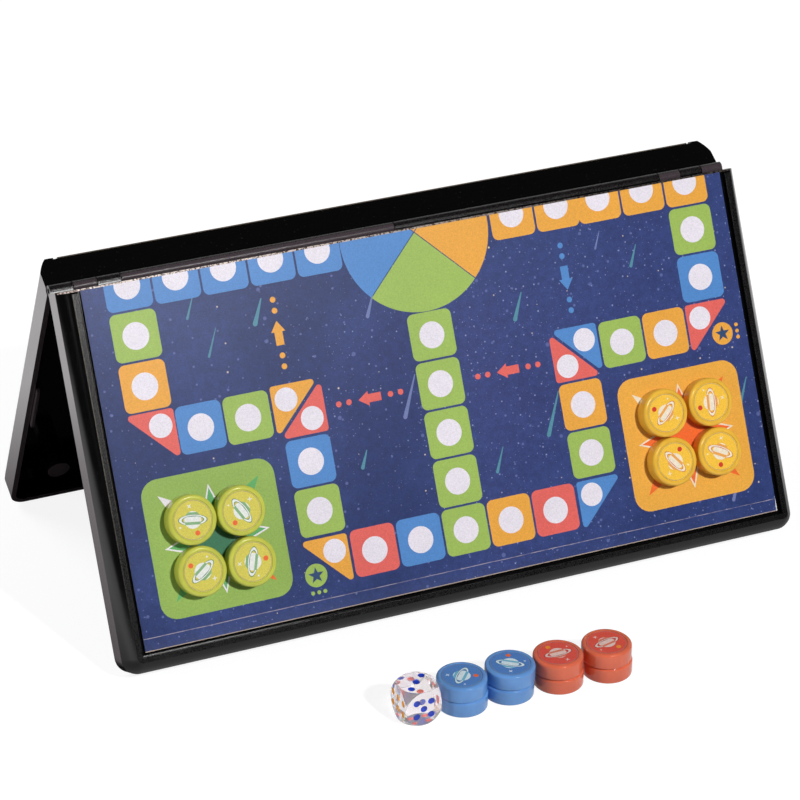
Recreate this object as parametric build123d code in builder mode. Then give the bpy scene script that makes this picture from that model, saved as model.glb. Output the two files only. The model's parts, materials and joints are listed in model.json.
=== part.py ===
from build123d import *
import math
import os

# Folding ludo board box: two like trays on one hinge, standing as a tent, with its playing pieces.
# Millimetres, +Z up, +X along the hinge, the played board facing -Y. The origin is on the table, under
# the middle of the whole set.

# Driving dimensions
square_pitch = 16.5         # printed path, centre to centre of neighbouring squares
tray_width = 245.0
tray_length = 126.0         # spine face to free edge
tray_depth = 14.2           # parting plane to the rim's crest
tent_angle = 54.3           # between the two halves as they stand
wall = 1.8
side_height = 8.0           # straight part of the side wall, below the bevel
bevel_run = 3.9
bevel_bulge = 0.45          # how far the bevel's arc stands out of its chord
crest_width = 2.0
crest_edge_radius = 0.25
crest_end_drop = 1.0        # the crest slopes down to the spine: this low,
crest_end_run = 1.3         # over this length
corner_radius = 5.5
disc_diameter = 16.5
disc_height = 5.5
die_size = 12.5

# The tray's recess, what is glued in it, and its hollow
plate_thickness = 0.5
card_thickness = 0.4
recess_depth = 1.5
floor_thickness = 1.7
hollow_taper = 1.7          # the hollow narrows under the bevel
rim_gap = 0.1               # rim to parting plane, so that the closed rims just miss
card_width = 230.6
card_end_gap = 0.6          # card to spine face
card_edge_gap = 1.2         # card to the rim, at the free edge
card_shift = -0.25          # the card is glued a little to one side
crease_from_edge = 4.2
crease_lift = 0.25          # the strip past the crease curls up by this much

# Hinge
barrel_radius = 1.9
barrel_clearance = 0.35
hinge_reach = 0.8           # hinge axis to spine face
spine_thickness = 3.2
knuckle_length = 8.2
knuckle_play = 0.2          # gap at each end of a knuckle
knuckle_meeting = -1.2      # where the two long knuckles meet, from the middle of the hinge
pin_radius = 1.0
pin_bore_radius = 1.05
pin_inset = 1.2             # the pin ends this far inside the barrel
pin_bore_in_long = 9.0      # depth of the pin hole in a long knuckle

# Closing magnets and guide tab
post_radius = 4.0
post_inset = 16.3           # post axis to the outer faces
post_skin = 0.8             # plastic over the magnet
magnet_radius = 3.0
magnet_length = 4.0
magnet_fit = 0.05
tab_length = 21.0
tab_thickness = 1.0
tab_reach = 1.5             # past the parting plane
tab_clearance = 0.3
tab_root = 6.0
tab_centre = 65.6           # spine face to the middle of the tab

# Playing disc
disc_edge_radius = 1.0
disc_foot_radius = 0.5
label_radius = 6.7
label_thickness = 0.15
label_recess = 0.3
disc_magnet_radius = 5.0
disc_magnet_height = 1.5
magnet_recess = 0.1
contact_gap = 0.05          # a disc stands this far off what it rests on

# Where the pieces stand
die_round_radius = 8.75     # the ball that rounds the die's corners
pip_radius = 1.15
single_pip_radius = 1.9
pip_depth = 0.35
pip_step = 2.5              # from a face's middle to its pips, both ways
long_pip_step = 3.0         # the same on the face with three
row_pip_step = 4.0          # from pip to pip in a row of three, on the face with six
row_offset = 2.0
table_row = 115.7           # hinge line to the foremost of the pieces on the table
# each stack along the row, and how far it stands back from the foremost
stack_places = [(-25.55, 0.4), (-8.95, 0.9), (8.4, 0.3), (25.8, 0.0)]
stack_lean = [0.35, -0.3, 0.3, 0.4]
die_place = (-41.8, 0.25)
print_shift = 0.65          # middle of the printed path, from the middle of the tray
green_places = [(-5.72, 4.73), (-4.70, 4.75), (-5.70, 5.76), (-4.66, 5.78)]
yellow_places = [(4.65, 4.60), (5.70, 4.57), (4.67, 5.62), (5.72, 5.61)]
print_row_zero = 2.3        # hinge axis to the first row of squares

# Derived sizes
half_width = tray_width / 2
lean = tent_angle / 2
lean_sin = math.sin(math.radians(lean))
lean_cos = math.cos(math.radians(lean))
free_edge = hinge_reach + tray_length
recess_floor = tray_depth - recess_depth
card_top = recess_floor + plate_thickness + card_thickness
hollow_top = recess_floor - floor_thickness
recess_half_width = half_width - bevel_run - crest_width
recess_free_edge = free_edge - bevel_run - crest_width
card_length = recess_free_edge - card_edge_gap - hinge_reach - card_end_gap

hinge_height = free_edge * lean_cos - rim_gap * lean_sin
set_front = -table_row - disc_diameter / 2
set_back = (free_edge - bevel_run) * lean_sin + tray_depth * lean_cos
hinge_y = -(set_front + set_back) / 2
row_y = hinge_y - table_row     # the foremost pieces' middle

hinge_point = (0, hinge_y, hinge_height)
front_plane = Plane(hinge_point, x_dir=(1, 0, 0), z_dir=(0, -lean_cos, lean_sin))
back_plane = Plane(hinge_point, x_dir=(-1, 0, 0), z_dir=(0, lean_cos, lean_sin))

knuckle_edges = [half_width - knuckle_length * count for count in range(4)]


def own_knuckles(meeting):
    """A tray's own knuckles along its local X, with the long one starting at meeting."""
    return [
        (-knuckle_edges[0], -knuckle_edges[1]),
        (-knuckle_edges[2], -knuckle_edges[3]),
        (meeting, knuckle_edges[3]),
        (knuckle_edges[2], knuckle_edges[1]),
    ]


def other_knuckles(meeting):
    """Where the other tray's knuckles stand, along the same local X."""
    return [(-end, -start) for start, end in own_knuckles(-meeting)]


def local_plane(plane, x, y, z):
    """The same directions as plane, with the origin at one of its local points."""
    return Plane(plane.from_local_coords((x, y, z)), x_dir=plane.x_dir, z_dir=plane.z_dir)


def side_plane(plane, x):
    """A plane square to the hinge: its X runs up the board to the hinge, its Y out of the board."""
    origin = plane.from_local_coords((x, 0, 0))
    return Plane(origin, x_dir=plane.y_dir, z_dir=plane.x_dir)


def outline(inset, spine_inset, radius):
    """The tray's outline, with round corners at the free edge only."""
    x = half_width - inset
    top = -hinge_reach - spine_inset
    bottom = -free_edge + inset
    with BuildSketch() as shape:
        with BuildLine():
            Polyline((-x, bottom + radius), (-x, top), (x, top), (x, bottom + radius))
            RadiusArc((x, bottom + radius), (x - radius, bottom), radius)
            Line((x - radius, bottom), (-x + radius, bottom))
            RadiusArc((-x + radius, bottom), (-x, bottom + radius), radius)
        make_face()
    return shape.sketch


def is_crest_edge(plane, edge):
    """True for the long edges of the rim's crest, not for its ends at the spine."""
    ends = [plane.to_local_coords(edge @ 0), plane.to_local_coords(edge @ 1)]
    on_crest = all(abs(end.Z - tray_depth) < 0.01 for end in ends)
    at_spine = all(end.Y > -hinge_reach - 0.01 for end in ends)
    return on_crest and not at_spine


def make_tray(plane, meeting, label):
    """One tray moulding, standing on plane: local Y towards the hinge, local Z out to the board."""
    with BuildPart() as tray:
        with BuildSketch(plane.offset(rim_gap)):
            add(outline(0, 0, corner_radius))
        extrude(amount=tray_depth - rim_gap)

        # the bevel round the three free sides is swept away along the outline
        x, bottom = half_width, -free_edge
        with BuildLine(plane.offset(side_height)) as bevel_path:
            Line((-x, -hinge_reach), (-x, bottom + corner_radius))
            RadiusArc((-x, bottom + corner_radius), (-x + corner_radius, bottom), -corner_radius)
            Line((-x + corner_radius, bottom), (x - corner_radius, bottom))
            RadiusArc((x - corner_radius, bottom), (x, bottom + corner_radius), -corner_radius)
            Line((x, bottom + corner_radius), (x, -hinge_reach))
        bevel_height = tray_depth - side_height
        chord = math.hypot(bevel_run, bevel_height)
        bulge_x = bevel_run / 2 - bevel_bulge * bevel_height / chord
        bulge_z = bevel_height / 2 + bevel_bulge * bevel_run / chord
        spine_end = Plane(plane.from_local_coords((-x, -hinge_reach, side_height)), x_dir=plane.x_dir,
                          z_dir=-plane.y_dir)
        with BuildSketch(spine_end):
            with BuildLine():
                ThreePointArc((0, 0), (bulge_x, bulge_z), (bevel_run, bevel_height))
                Polyline((bevel_run, bevel_height), (bevel_run, bevel_height + 1), (-1, bevel_height + 1),
                         (-1, 0), (0, 0))
            make_face()
        sweep(path=bevel_path.line, mode=Mode.SUBTRACT)

        # recess for the plate and the card, open at the spine
        recess_length = recess_free_edge
        with BuildSketch(local_plane(plane, 0, -recess_length / 2, recess_floor)):
            Rectangle(2 * recess_half_width, recess_length)
        extrude(amount=recess_depth + 1, mode=Mode.SUBTRACT)

        # hollow, straight to the bevel's foot and then narrowing
        with BuildSketch(plane):
            add(outline(wall, spine_thickness, corner_radius - wall))
        extrude(amount=side_height, mode=Mode.SUBTRACT)
        with BuildSketch(plane.offset(side_height)):
            add(outline(wall, spine_thickness, corner_radius - wall))
        with BuildSketch(plane.offset(hollow_top)):
            add(outline(wall + hollow_taper, spine_thickness + hollow_taper,
                        corner_radius - wall - hollow_taper))
        loft(ruled=True, mode=Mode.SUBTRACT)

        fillet(tray.edges().filter_by(lambda edge: is_crest_edge(plane, edge)), radius=crest_edge_radius)

        # the crest's ends slope down to the spine
        with BuildSketch(side_plane(plane, -half_width)):
            with BuildLine():
                low, start = tray_depth - crest_end_drop, -hinge_reach - crest_end_run
                Polyline((-hinge_reach + 0.1, low), (-hinge_reach, low), (start, tray_depth),
                         (start, tray_depth + 1), (-hinge_reach + 0.1, tray_depth + 1), close=True)
            make_face()
        extrude(amount=tray_width, mode=Mode.SUBTRACT)

        # magnet posts in the free corners, bored from the recess
        post_x, post_y = half_width - post_inset, -free_edge + post_inset
        with BuildSketch(plane.offset(rim_gap)):
            with Locations((-post_x, post_y), (post_x, post_y)):
                Circle(post_radius)
        extrude(amount=hollow_top + 0.5 - rim_gap)
        with BuildSketch(plane.offset(rim_gap + post_skin)):
            with Locations((-post_x, post_y), (post_x, post_y)):
                Circle(magnet_radius + magnet_fit)
        extrude(amount=recess_floor, mode=Mode.SUBTRACT)

        # guide tab on one side wall, its tip standing clear of the wall line
        tab_face = half_width - wall - tab_clearance
        tab_y = -hinge_reach - tab_centre
        with BuildSketch(plane.offset(tab_root)):
            with Locations((tab_face - tab_thickness, tab_y)):
                Rectangle(tab_thickness + tab_clearance + 0.2, tab_length, align=(Align.MIN, Align.CENTER))
        extrude(amount=-(tab_root - 1.0))
        with BuildSketch(plane.offset(1.0)):
            with Locations((tab_face - tab_thickness, tab_y)):
                Rectangle(tab_thickness, tab_length, align=(Align.MIN, Align.CENTER))
        extrude(amount=-(1.0 + tab_reach))

        # notches for the other tray's knuckles, then this tray's own
        for start, end in other_knuckles(meeting):
            reach = 1.0 if end == half_width else knuckle_play
            with BuildSketch(side_plane(plane, start - knuckle_play)):
                Circle(barrel_radius + barrel_clearance)
            extrude(amount=end - start + knuckle_play + reach, mode=Mode.SUBTRACT)
        for start, end in own_knuckles(meeting):
            with BuildSketch(side_plane(plane, start + knuckle_play)):
                Circle(barrel_radius)
                Rectangle(hinge_reach + 0.4, barrel_radius, align=(Align.MAX, Align.MIN))
            extrude(amount=end - start - 2 * knuckle_play)

        # pin holes from both ends of the barrel
        pin_reach = 3 * knuckle_length + pin_bore_in_long
        for start in (-half_width - 1, half_width - pin_reach):
            with BuildSketch(side_plane(plane, start)):
                Circle(pin_bore_radius)
            extrude(amount=pin_reach + 1, mode=Mode.SUBTRACT)
    tray.part.label = label
    return tray.part


def make_plate(plane, label):
    """The steel sheet under the card."""
    with BuildPart() as plate:
        with BuildSketch(local_plane(plane, card_shift, -hinge_reach - card_end_gap - card_length / 2,
                                     recess_floor)):
            Rectangle(card_width, card_length)
        extrude(amount=plate_thickness)
    plate.part.label = label
    return plate.part


def make_card(plane, label):
    """The printed card, creased along its free edge."""
    start = -hinge_reach - card_end_gap
    end = start - card_length
    crease = end + crease_from_edge
    low, high = recess_floor + plate_thickness, card_top
    with BuildPart() as card:
        with BuildSketch(side_plane(plane, card_shift - card_width / 2)):
            with BuildLine():
                Polyline((start, low), (crease, low), (end, low + crease_lift), (end, high + crease_lift),
                         (crease, high), (start, high), (start, low))
            make_face()
        extrude(amount=card_width)
    card.part.label = label
    return card.part


def make_closing_magnets(plane, label):
    """The two magnets at the ends of a tray's corner posts."""
    post_x, post_y = half_width - post_inset, -free_edge + post_inset
    with BuildPart() as magnets:
        with BuildSketch(plane.offset(rim_gap + post_skin)):
            with Locations((-post_x, post_y), (post_x, post_y)):
                Circle(magnet_radius)
        extrude(amount=magnet_length)
    magnets.part.label = label
    return magnets.part


def make_hinge_pin(side, label):
    """A pin through the three short knuckles and into the long one, at side -1 or 1."""
    pin_length = 3 * knuckle_length + pin_bore_in_long - pin_inset - 1
    outer_end = half_width - pin_inset
    start = -outer_end if side < 0 else outer_end - pin_length
    with BuildPart() as pin:
        with BuildSketch(side_plane(front_plane, start)):
            Circle(pin_radius)
        extrude(amount=pin_length)
        chamfer(pin.edges().filter_by(GeomType.CIRCLE), length=0.25)
    pin.part.label = label
    return pin.part


def make_disc_body(plane, label):
    """A disc's plastic body, with the label's recess on top and the magnet's pocket below."""
    with BuildPart() as body:
        with BuildSketch(plane):
            Circle(disc_diameter / 2)
        extrude(amount=disc_height)
        axis = Axis(plane.origin, plane.z_dir)
        fillet(body.edges().filter_by(GeomType.CIRCLE).sort_by(axis)[-1], radius=disc_edge_radius)
        fillet(body.edges().filter_by(GeomType.CIRCLE).sort_by(axis)[0], radius=disc_foot_radius)
        with BuildSketch(plane.offset(disc_height - label_recess)):
            Circle(label_radius)
        extrude(amount=label_recess, mode=Mode.SUBTRACT)
        with BuildSketch(plane):
            Circle(disc_magnet_radius + magnet_fit)
        extrude(amount=magnet_recess + disc_magnet_height, mode=Mode.SUBTRACT)
    body.part.label = label
    return body.part


def make_round(plane, radius, height, label):
    """A plain round piece, such as a magnet or a label."""
    with BuildPart() as piece:
        with BuildSketch(plane):
            Circle(radius)
        extrude(amount=height)
    piece.part.label = label
    return piece.part


def make_disc(plane, name):
    """A playing disc standing on plane: its body, magnet and label."""
    magnet_plane = plane.offset(magnet_recess)
    label_plane = plane.offset(disc_height - label_recess)
    return [
        make_disc_body(plane, name),
        make_round(magnet_plane, disc_magnet_radius, disc_magnet_height, name + "_magnet"),
        make_round(label_plane, label_radius - 0.1, label_thickness, name + "_label"),
    ]


def make_die(plane, label):
    """A cube rounded by a ball, with a sunk round pip for each point. Opposite faces add up to seven."""
    half = die_size / 2
    corners = [(-pip_step, -pip_step), (pip_step, -pip_step), (-pip_step, pip_step), (pip_step, pip_step)]
    pips = {
        1: [(0, 0)],
        2: [(-pip_step, -pip_step), (pip_step, pip_step)],
        3: [(-long_pip_step, -long_pip_step), (0, 0), (long_pip_step, long_pip_step)],
        4: corners,
        5: corners + [(0, 0)],
        6: [(x * row_pip_step, y * row_offset) for x in (-1, 0, 1) for y in (-1, 1)],
    }
    centre = plane.offset(half).origin
    faces = {
        3: Plane(centre + Vector(0, 0, half), x_dir=(1, 0, 0), z_dir=(0, 0, 1)),
        4: Plane(centre - Vector(0, 0, half), x_dir=(1, 0, 0), z_dir=(0, 0, -1)),
        5: Plane(centre - Vector(0, half, 0), x_dir=(1, 0, 0), z_dir=(0, -1, 0)),
        2: Plane(centre + Vector(0, half, 0), x_dir=(-1, 0, 0), z_dir=(0, 1, 0)),
        6: Plane(centre - Vector(half, 0, 0), x_dir=(0, -1, 0), z_dir=(-1, 0, 0)),
        1: Plane(centre + Vector(half, 0, 0), x_dir=(0, 1, 0), z_dir=(1, 0, 0)),
    }
    with BuildPart() as die:
        with BuildSketch(plane):
            Rectangle(die_size, die_size)
        extrude(amount=die_size)
        with Locations(centre):
            Sphere(die_round_radius, mode=Mode.INTERSECT)
        for points, face in faces.items():
            with BuildSketch(face):
                with Locations(*pips[points]):
                    Circle(single_pip_radius if points == 1 else pip_radius)
            extrude(amount=-pip_depth, mode=Mode.SUBTRACT)
    die.part.label = label
    return die.part


pieces = []
for plane, meeting, side in ((front_plane, knuckle_meeting, "front"), (back_plane, -knuckle_meeting, "back")):
    pieces.append(make_tray(plane, meeting, side + "_tray"))
    pieces.append(make_plate(plane, side + "_steel_plate"))
    pieces.append(make_card(plane, side + "_board_card"))
    pieces.append(make_closing_magnets(plane, side + "_closing_magnets"))

pieces.append(make_hinge_pin(-1, "hinge_pin_left"))
pieces.append(make_hinge_pin(1, "hinge_pin_right"))

for colour, places in (("green", green_places), ("yellow", yellow_places)):
    for number, (column, row) in enumerate(places, start=1):
        seat = local_plane(front_plane, print_shift + column * square_pitch,
                           -print_row_zero - row * square_pitch, card_top + contact_gap)
        pieces.extend(make_disc(seat, f"{colour}_disc_{number}"))

for stack, (place, back) in enumerate(stack_places):
    colour = "blue" if stack < 2 else "red"
    first = 1 + 2 * (stack % 2)
    lower = Plane((place, row_y + back, 0))
    upper = Plane((place - stack_lean[stack], row_y + back, disc_height + contact_gap))
    pieces.extend(make_disc(lower, f"{colour}_disc_{first}"))
    pieces.extend(make_disc(upper, f"{colour}_disc_{first + 1}"))

pieces.append(make_die(Plane((die_place[0], row_y + die_place[1], 0)), "die"))

os.makedirs("parts", exist_ok=True)
for piece in pieces:
    export_step(piece, f"parts/{piece.label}.step")
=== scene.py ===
# Looks for a folding ludo board box: two hinged trays standing as a tent, a printed card on each,
# sixteen magnetic discs and a clear die. Sizes are in millimetres where no note says otherwise, and mm turns
# them into metres.
import json
import math
import random

import bmesh
import bpy
from mathutils import Matrix, Vector
from mathutils.geometry import delaunay_2d_cdt

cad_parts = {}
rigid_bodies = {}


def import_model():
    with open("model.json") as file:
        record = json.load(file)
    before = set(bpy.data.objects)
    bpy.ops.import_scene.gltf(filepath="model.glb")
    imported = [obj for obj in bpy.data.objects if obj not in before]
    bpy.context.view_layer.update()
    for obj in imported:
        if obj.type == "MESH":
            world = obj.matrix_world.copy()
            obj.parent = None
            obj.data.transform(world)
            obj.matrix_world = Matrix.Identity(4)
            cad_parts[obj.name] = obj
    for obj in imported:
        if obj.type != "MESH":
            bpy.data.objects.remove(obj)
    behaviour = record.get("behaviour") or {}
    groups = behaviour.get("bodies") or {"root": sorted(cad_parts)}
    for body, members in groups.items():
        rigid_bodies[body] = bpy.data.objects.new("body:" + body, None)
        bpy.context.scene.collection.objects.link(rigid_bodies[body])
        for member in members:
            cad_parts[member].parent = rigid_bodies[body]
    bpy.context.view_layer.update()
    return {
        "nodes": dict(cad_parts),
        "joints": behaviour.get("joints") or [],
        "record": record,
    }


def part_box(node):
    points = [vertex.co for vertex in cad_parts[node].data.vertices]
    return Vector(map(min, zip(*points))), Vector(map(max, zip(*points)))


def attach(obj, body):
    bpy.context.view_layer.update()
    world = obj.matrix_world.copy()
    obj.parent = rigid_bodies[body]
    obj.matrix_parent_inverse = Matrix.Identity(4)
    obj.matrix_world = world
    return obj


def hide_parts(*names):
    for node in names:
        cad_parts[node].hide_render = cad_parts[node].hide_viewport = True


for leftover in list(bpy.data.objects):
    bpy.data.objects.remove(leftover)

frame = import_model()

mm = 0.001
hinge = Vector(next(joint for joint in frame["joints"] if joint["name"] == "fold")["pos_m"])
backFace = next(mount for mount in frame["record"]["mounts"] if mount["name"] == "back_board_face")
backNormal = Vector(backFace["axis"]).normalized()


def halfFrame(side):
    # x along the hinge, y up the board to the hinge, z out of the board
    turn = 1 if side == "front" else -1
    out = Vector((0, -turn * backNormal.y, backNormal.z))
    along = Vector((turn, 0, 0))
    up = out.cross(along)
    return Matrix.Translation(hinge) @ Matrix((along, up, out)).transposed().to_4x4()


halves = {side: halfFrame(side) for side in ("front", "back")}
print("frame loaded")


# Shaders: a Value stands for a socket and can be used in sums, a Paint is one material

class Value:
    def __init__(self, paint, socket):
        self.paint = paint
        self.socket = socket

    def calc(self, operation, *others):
        return self.paint.node("ShaderNodeMath", {"operation": operation}, [self, *others])

    def __add__(self, other):
        return self.calc("ADD", other)

    def __sub__(self, other):
        return self.calc("SUBTRACT", other)

    def __rsub__(self, other):
        return self.paint.node("ShaderNodeMath", {"operation": "SUBTRACT"}, [other, self])

    def __mul__(self, other):
        return self.calc("MULTIPLY", other)

    def __truediv__(self, other):
        return self.calc("DIVIDE", other)

    def __lt__(self, other):
        return self.calc("LESS_THAN", other)


class Paint:
    def __init__(self, name, owner=None):
        self.owner = owner or bpy.data.materials.new(name)
        self.owner.use_nodes = True
        self.tree = self.owner.node_tree
        self.tree.nodes.clear()

    def node(self, kind, settings=None, inputs=(), out=0):
        made = self.tree.nodes.new(kind)
        for name, setting in (settings or {}).items():
            setattr(made, name, setting)
        pairs = inputs.items() if isinstance(inputs, dict) else enumerate(inputs)
        for name, given in pairs:
            self.feed(made.inputs[name], given)
        return Value(self, made.outputs[out])

    def feed(self, socket, given):
        if isinstance(given, Value):
            self.tree.links.new(given.socket, socket)
        elif socket.type == "RGBA" and len(given) == 3:
            socket.default_value = (*given, 1)
        else:
            socket.default_value = given

    def own(self):
        return self.node("ShaderNodeTexCoord", out="Object")  # the piece's own coordinates, in metres

    def noise(self, scale, detail=2.0, at=None, rough=0.5):
        return self.node("ShaderNodeTexNoise", {"noise_dimensions": "3D"},
                         {"Vector": at or self.own(), "Scale": scale, "Detail": detail, "Roughness": rough})

    def spread(self, value, low, high, fromLow=0.0, fromHigh=1.0):
        return self.node("ShaderNodeMapRange", {"clamp": True}, [value, fromLow, fromHigh, low, high])

    def vary(self, value, low, high):  # low to high over the middle of a noise, where most of it lies
        return self.spread(value, low, high, 0.3, 0.7)

    def soft(self, value, start, end):  # 0 at start, 1 at end, smooth between
        return self.node("ShaderNodeMapRange", {"interpolation_type": "SMOOTHSTEP"},
                         [value, start, end, 0.0, 1.0])

    def mix(self, factor, first, second):
        return self.node("ShaderNodeMix", {"data_type": "RGBA"}, {0: factor, 6: first, 7: second}, out=2)

    def vectors(self, operation, *inputs, out=0):
        return self.node("ShaderNodeVectorMath", {"operation": operation}, inputs, out)

    def tint(self, colour, shade):
        return self.node("ShaderNodeVectorMath", {"operation": "SCALE"}, {0: colour, "Scale": shade})

    def bump(self, height, strength, distance):
        return self.node("ShaderNodeBump", None,
                         {"Height": height, "Strength": strength, "Distance": distance})

    def part(self, vector, axis):
        return self.node("ShaderNodeSeparateXYZ", None, [vector], out=axis)

    def ray(self, kind):
        return self.node("ShaderNodeLightPath", out=kind)

    def surface(self, sockets):
        self.show(self.node("ShaderNodeBsdfPrincipled", None, sockets))
        return self.owner

    def show(self, shader, output="ShaderNodeOutputMaterial"):
        self.tree.links.new(shader.socket, self.tree.nodes.new(output).inputs["Surface"])


# Printed card

ink = {
    "green": (0.345, 0.505, 0.105),
    "yellow": (0.84, 0.39, 0.055),
    "blue": (0.085, 0.255, 0.60),
    "red": (0.78, 0.135, 0.115),
    "white": (0.82, 0.77, 0.85),
    "baseGreen": (0.30, 0.46, 0.10),
    "baseYellow": (0.84, 0.41, 0.06),
    "baseRed": (0.66, 0.10, 0.07),
    "baseBlue": (0.08, 0.24, 0.56),
    "comet": (0.085, 0.27, 0.36),
    "streak": (0.16, 0.20, 0.42),
    "paper": (0.78, 0.76, 0.80),
    "fray": (0.46, 0.36, 0.29),
    "midGreen": (0.12, 0.42, 0.14),
    "heartGreen": (0.045, 0.19, 0.10),
    "orange": (0.86, 0.16, 0.03),
    "cream": (0.80, 0.74, 0.60),
    "navyInk": (0.03, 0.07, 0.17),
}
varnish = {"low": 0.31, "high": 0.41}    # roughness: the print is half dull


def inkPaint(name, colour):
    paint = Paint("print_" + name)
    grain = paint.noise(2600, 1.5)
    cloud = paint.noise(45, 2)
    shade = paint.vary(grain, 0.90, 1.10) * paint.vary(cloud, 0.97, 1.03)
    return paint.surface({
        "Base Color": paint.tint(colour, shade),
        "Roughness": paint.spread(grain, varnish["low"], varnish["high"]),
        "Normal": paint.bump(grain, 0.25, 0.00004),
    })


night = {
    "dark": (0.019, 0.036, 0.142),
    "light": (0.030, 0.053, 0.192),
    "violet": (0.044, 0.058, 0.208),
    "star": (0.42, 0.48, 0.80),
    "haze": (0.17, 0.21, 0.50),
    "warmStar": (0.85, 0.72, 0.55),
}
starLayers = [  # cell, greatest radius, share of cells with a star, softness, strength, ink, in the dust only
    (9.5, 0.95, 0.36, 0.5, 0.50, "haze", False),
    (5.2, 0.62, 0.42, 0.6, 0.60, "haze", False),
    (3.0, 0.42, 0.36, 0.7, 0.62, "star", True),
    (1.6, 0.26, 0.30, 0.9, 0.45, "star", True),
    (12.0, 0.50, 0.34, 0.9, 0.90, "warmStar", False),
]


def starLayer(paint, at, cell, radius, share, softness):
    # round dots of different sizes, one in some of the cells of a scattered grid
    scale = 1 / (cell * mm)
    settings = {"voronoi_dimensions": "2D", "feature": "F1"}
    inputs = {"Vector": at, "Scale": scale, "Randomness": 1.0}
    distance = paint.node("ShaderNodeTexVoronoi", settings, inputs, out="Distance")
    ofCell = paint.node("ShaderNodeTexVoronoi", settings, inputs, out="Color")
    chance, size = paint.part(ofCell, 0), paint.part(ofCell, 1)
    reach = paint.spread(size, 0.35, 1.0) * (radius / cell)
    dot = 1 - paint.soft(distance / reach, 1 - softness, 1.0)
    return dot * (chance < share)


def nightPaint():
    paint = Paint("print_night")
    at = paint.own()
    cloud = paint.noise(26, 3, at, 0.55)
    drift = paint.noise(9, 2, at)
    grain = paint.noise(2600, 1.5, at)
    mottle = paint.noise(420, 3, at, 0.6)
    sky = paint.mix(paint.soft(cloud, 0.36, 0.66), night["dark"], night["light"])
    sky = paint.mix(paint.soft(drift, 0.45, 0.75) * 0.5, sky, night["violet"])
    sky = paint.tint(sky, paint.vary(grain, 0.80, 1.20) * paint.vary(mottle, 0.86, 1.14))
    dusty = paint.soft(drift, 0.34, 0.60)
    for cell, radius, share, softness, strength, shade, inDust in starLayers:
        stars = starLayer(paint, at, cell, radius, share, softness)
        if inDust:
            stars = stars * dusty
        sky = paint.mix(stars * strength, sky, night[shade])
    # the crease near the free edge is worn to a thin light line
    wander = paint.noise(60, 2, at) - 0.5
    crease = (paint.part(at, 1) - card["crease"] * mm + wander * 0.0003).calc("ABSOLUTE")
    flecks = paint.spread(paint.noise(300, 2, at), 0.25, 0.9, 0.35, 0.6)
    wearAndHighlight = (1 - paint.soft(crease, 0.00005, 0.00018)) * flecks
    sky = paint.mix(wearAndHighlight, sky, card["wornInk"])
    return paint.surface({
        "Base Color": sky,
        "Roughness": paint.spread(grain, varnish["low"], varnish["high"]),
        "Normal": paint.bump(grain, 0.3, 0.00004),
    })


card = {
    "start": -1.4,          # edge at the hinge, from the hinge line
    "crease": -115.5,
    "end": -119.7,
    "top": 13.6,            # above the parting plane
    "thickness": 0.4,
    "curl": 0.14,           # rise of the free edge past the crease
    "stripSteps": 6,
    "frayed": 0.26,         # bare edge along the free end
    "bareEdge": (0.12, 0.42),   # unprinted margin at the strip's right end, by the crease and by the edge
    "wornInk": (0.42, 0.36, 0.42),
    "core": (0.46, 0.36, 0.28),
    "hingeCore": (0.10, 0.075, 0.055),
}

board = {                   # millimetres as far as printShift, and pitches from outerShift on
    "pitch": 16.5,
    "rowZero": 2.42,        # hinge line to the middle of the first row
    "printShift": 0.65,     # the print lies this much to the right of the middle
    "outerShift": 0.10,     # squares past the third stand this much further out
    "cell": 0.955,
    "cellRound": 0.13,
    "dot": 0.272,
    "triangleLeg": 1.03,
    "triangleRound": 0.065,
    "triangleDot": 0.240,
    "triangleDotIn": 0.305,
    "bases": {"baseGreen": (-5.19, 5.215, 1.39), "baseYellow": (5.17, 5.17, 1.385)},  # middle, half side
    "baseRound": 0.35,
    "hub": 1.60,
    "hubLine": 0.009,
    "arrowHalf": 0.245,
    "arrowShaft": 0.085,
    "arrowHead": 0.15,
    "arrowHeadLong": 0.22,
    "trailDots": (0.45, 0.67),
    "trailDot": 0.06,
}

cells = {  # squares of each colour on the front half, as column and row
    "green": [(-6, 1), (-4.03, 3), (-3, 5), (0, 2), (0, 3), (0, 4), (0, 5), (0, 6), (3, 5), (4, 3), (6, 1)],
    "yellow": [(2.15, 0), (3.15, 0), (4, 0), (5, 0), (6, 0), (-6, 2), (1, 6), (3, 4), (5, 3)],
    "blue": [(-6, 0), (-5, 0), (-4, 0), (-3.1, 0), (-2.1, 0), (-5.023, 3), (-3, 4), (-1, 6), (6, 2)],
    "red": [(-2, 6), (2, 6)],
}
triangles = [  # colour, the square corner's place, and which way its two legs go
    ("red", (-5.62, 2.513), (-1, 1)),
    ("yellow", (-3.594, 2.492), (1, 1)),
    ("red", (-2.51, 3.568), (-1, -1)),
    ("yellow", (-2.536, 5.642), (-1, 1)),
    ("blue", (2.544, 5.638), (1, 1)),
    ("red", (2.504, 3.574), (1, -1)),
    ("blue", (3.574, 2.497), (-1, 1)),
    ("red", (5.623, 2.529), (1, 1)),
]
arrows = [  # colour, middle, and the way it points
    ("yellow", (-3.20, 1.475), (0, -1)),
    ("blue", (3.10, 1.487), (0, 1)),
    ("red", (-1.545, 3.10), (-1, 0)),
    ("red", (1.495, 3.11), (-1, 0)),
]
opposite = {  # what the back half's print has in place of each colour
    "green": "red",
    "yellow": "blue",
    "blue": "yellow",
    "red": "green",
    "baseGreen": "baseRed",
    "baseYellow": "baseBlue",
    "midGreen": "orange",
    "heartGreen": "orange",
    "orange": "comet",
    "cream": "white",
}


def arcPoints(middle, radius, start, end, steps):
    # from one angle to another, in degrees
    points = []
    for step in range(steps + 1):
        angle = math.radians(start + (end - start) * step / steps)
        points.append((middle[0] + radius * math.cos(angle), middle[1] + radius * math.sin(angle)))
    return points


def ringAround(middle, radius, steps=40):
    return arcPoints(middle, radius, 0, 360, steps)[:-1]


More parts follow.
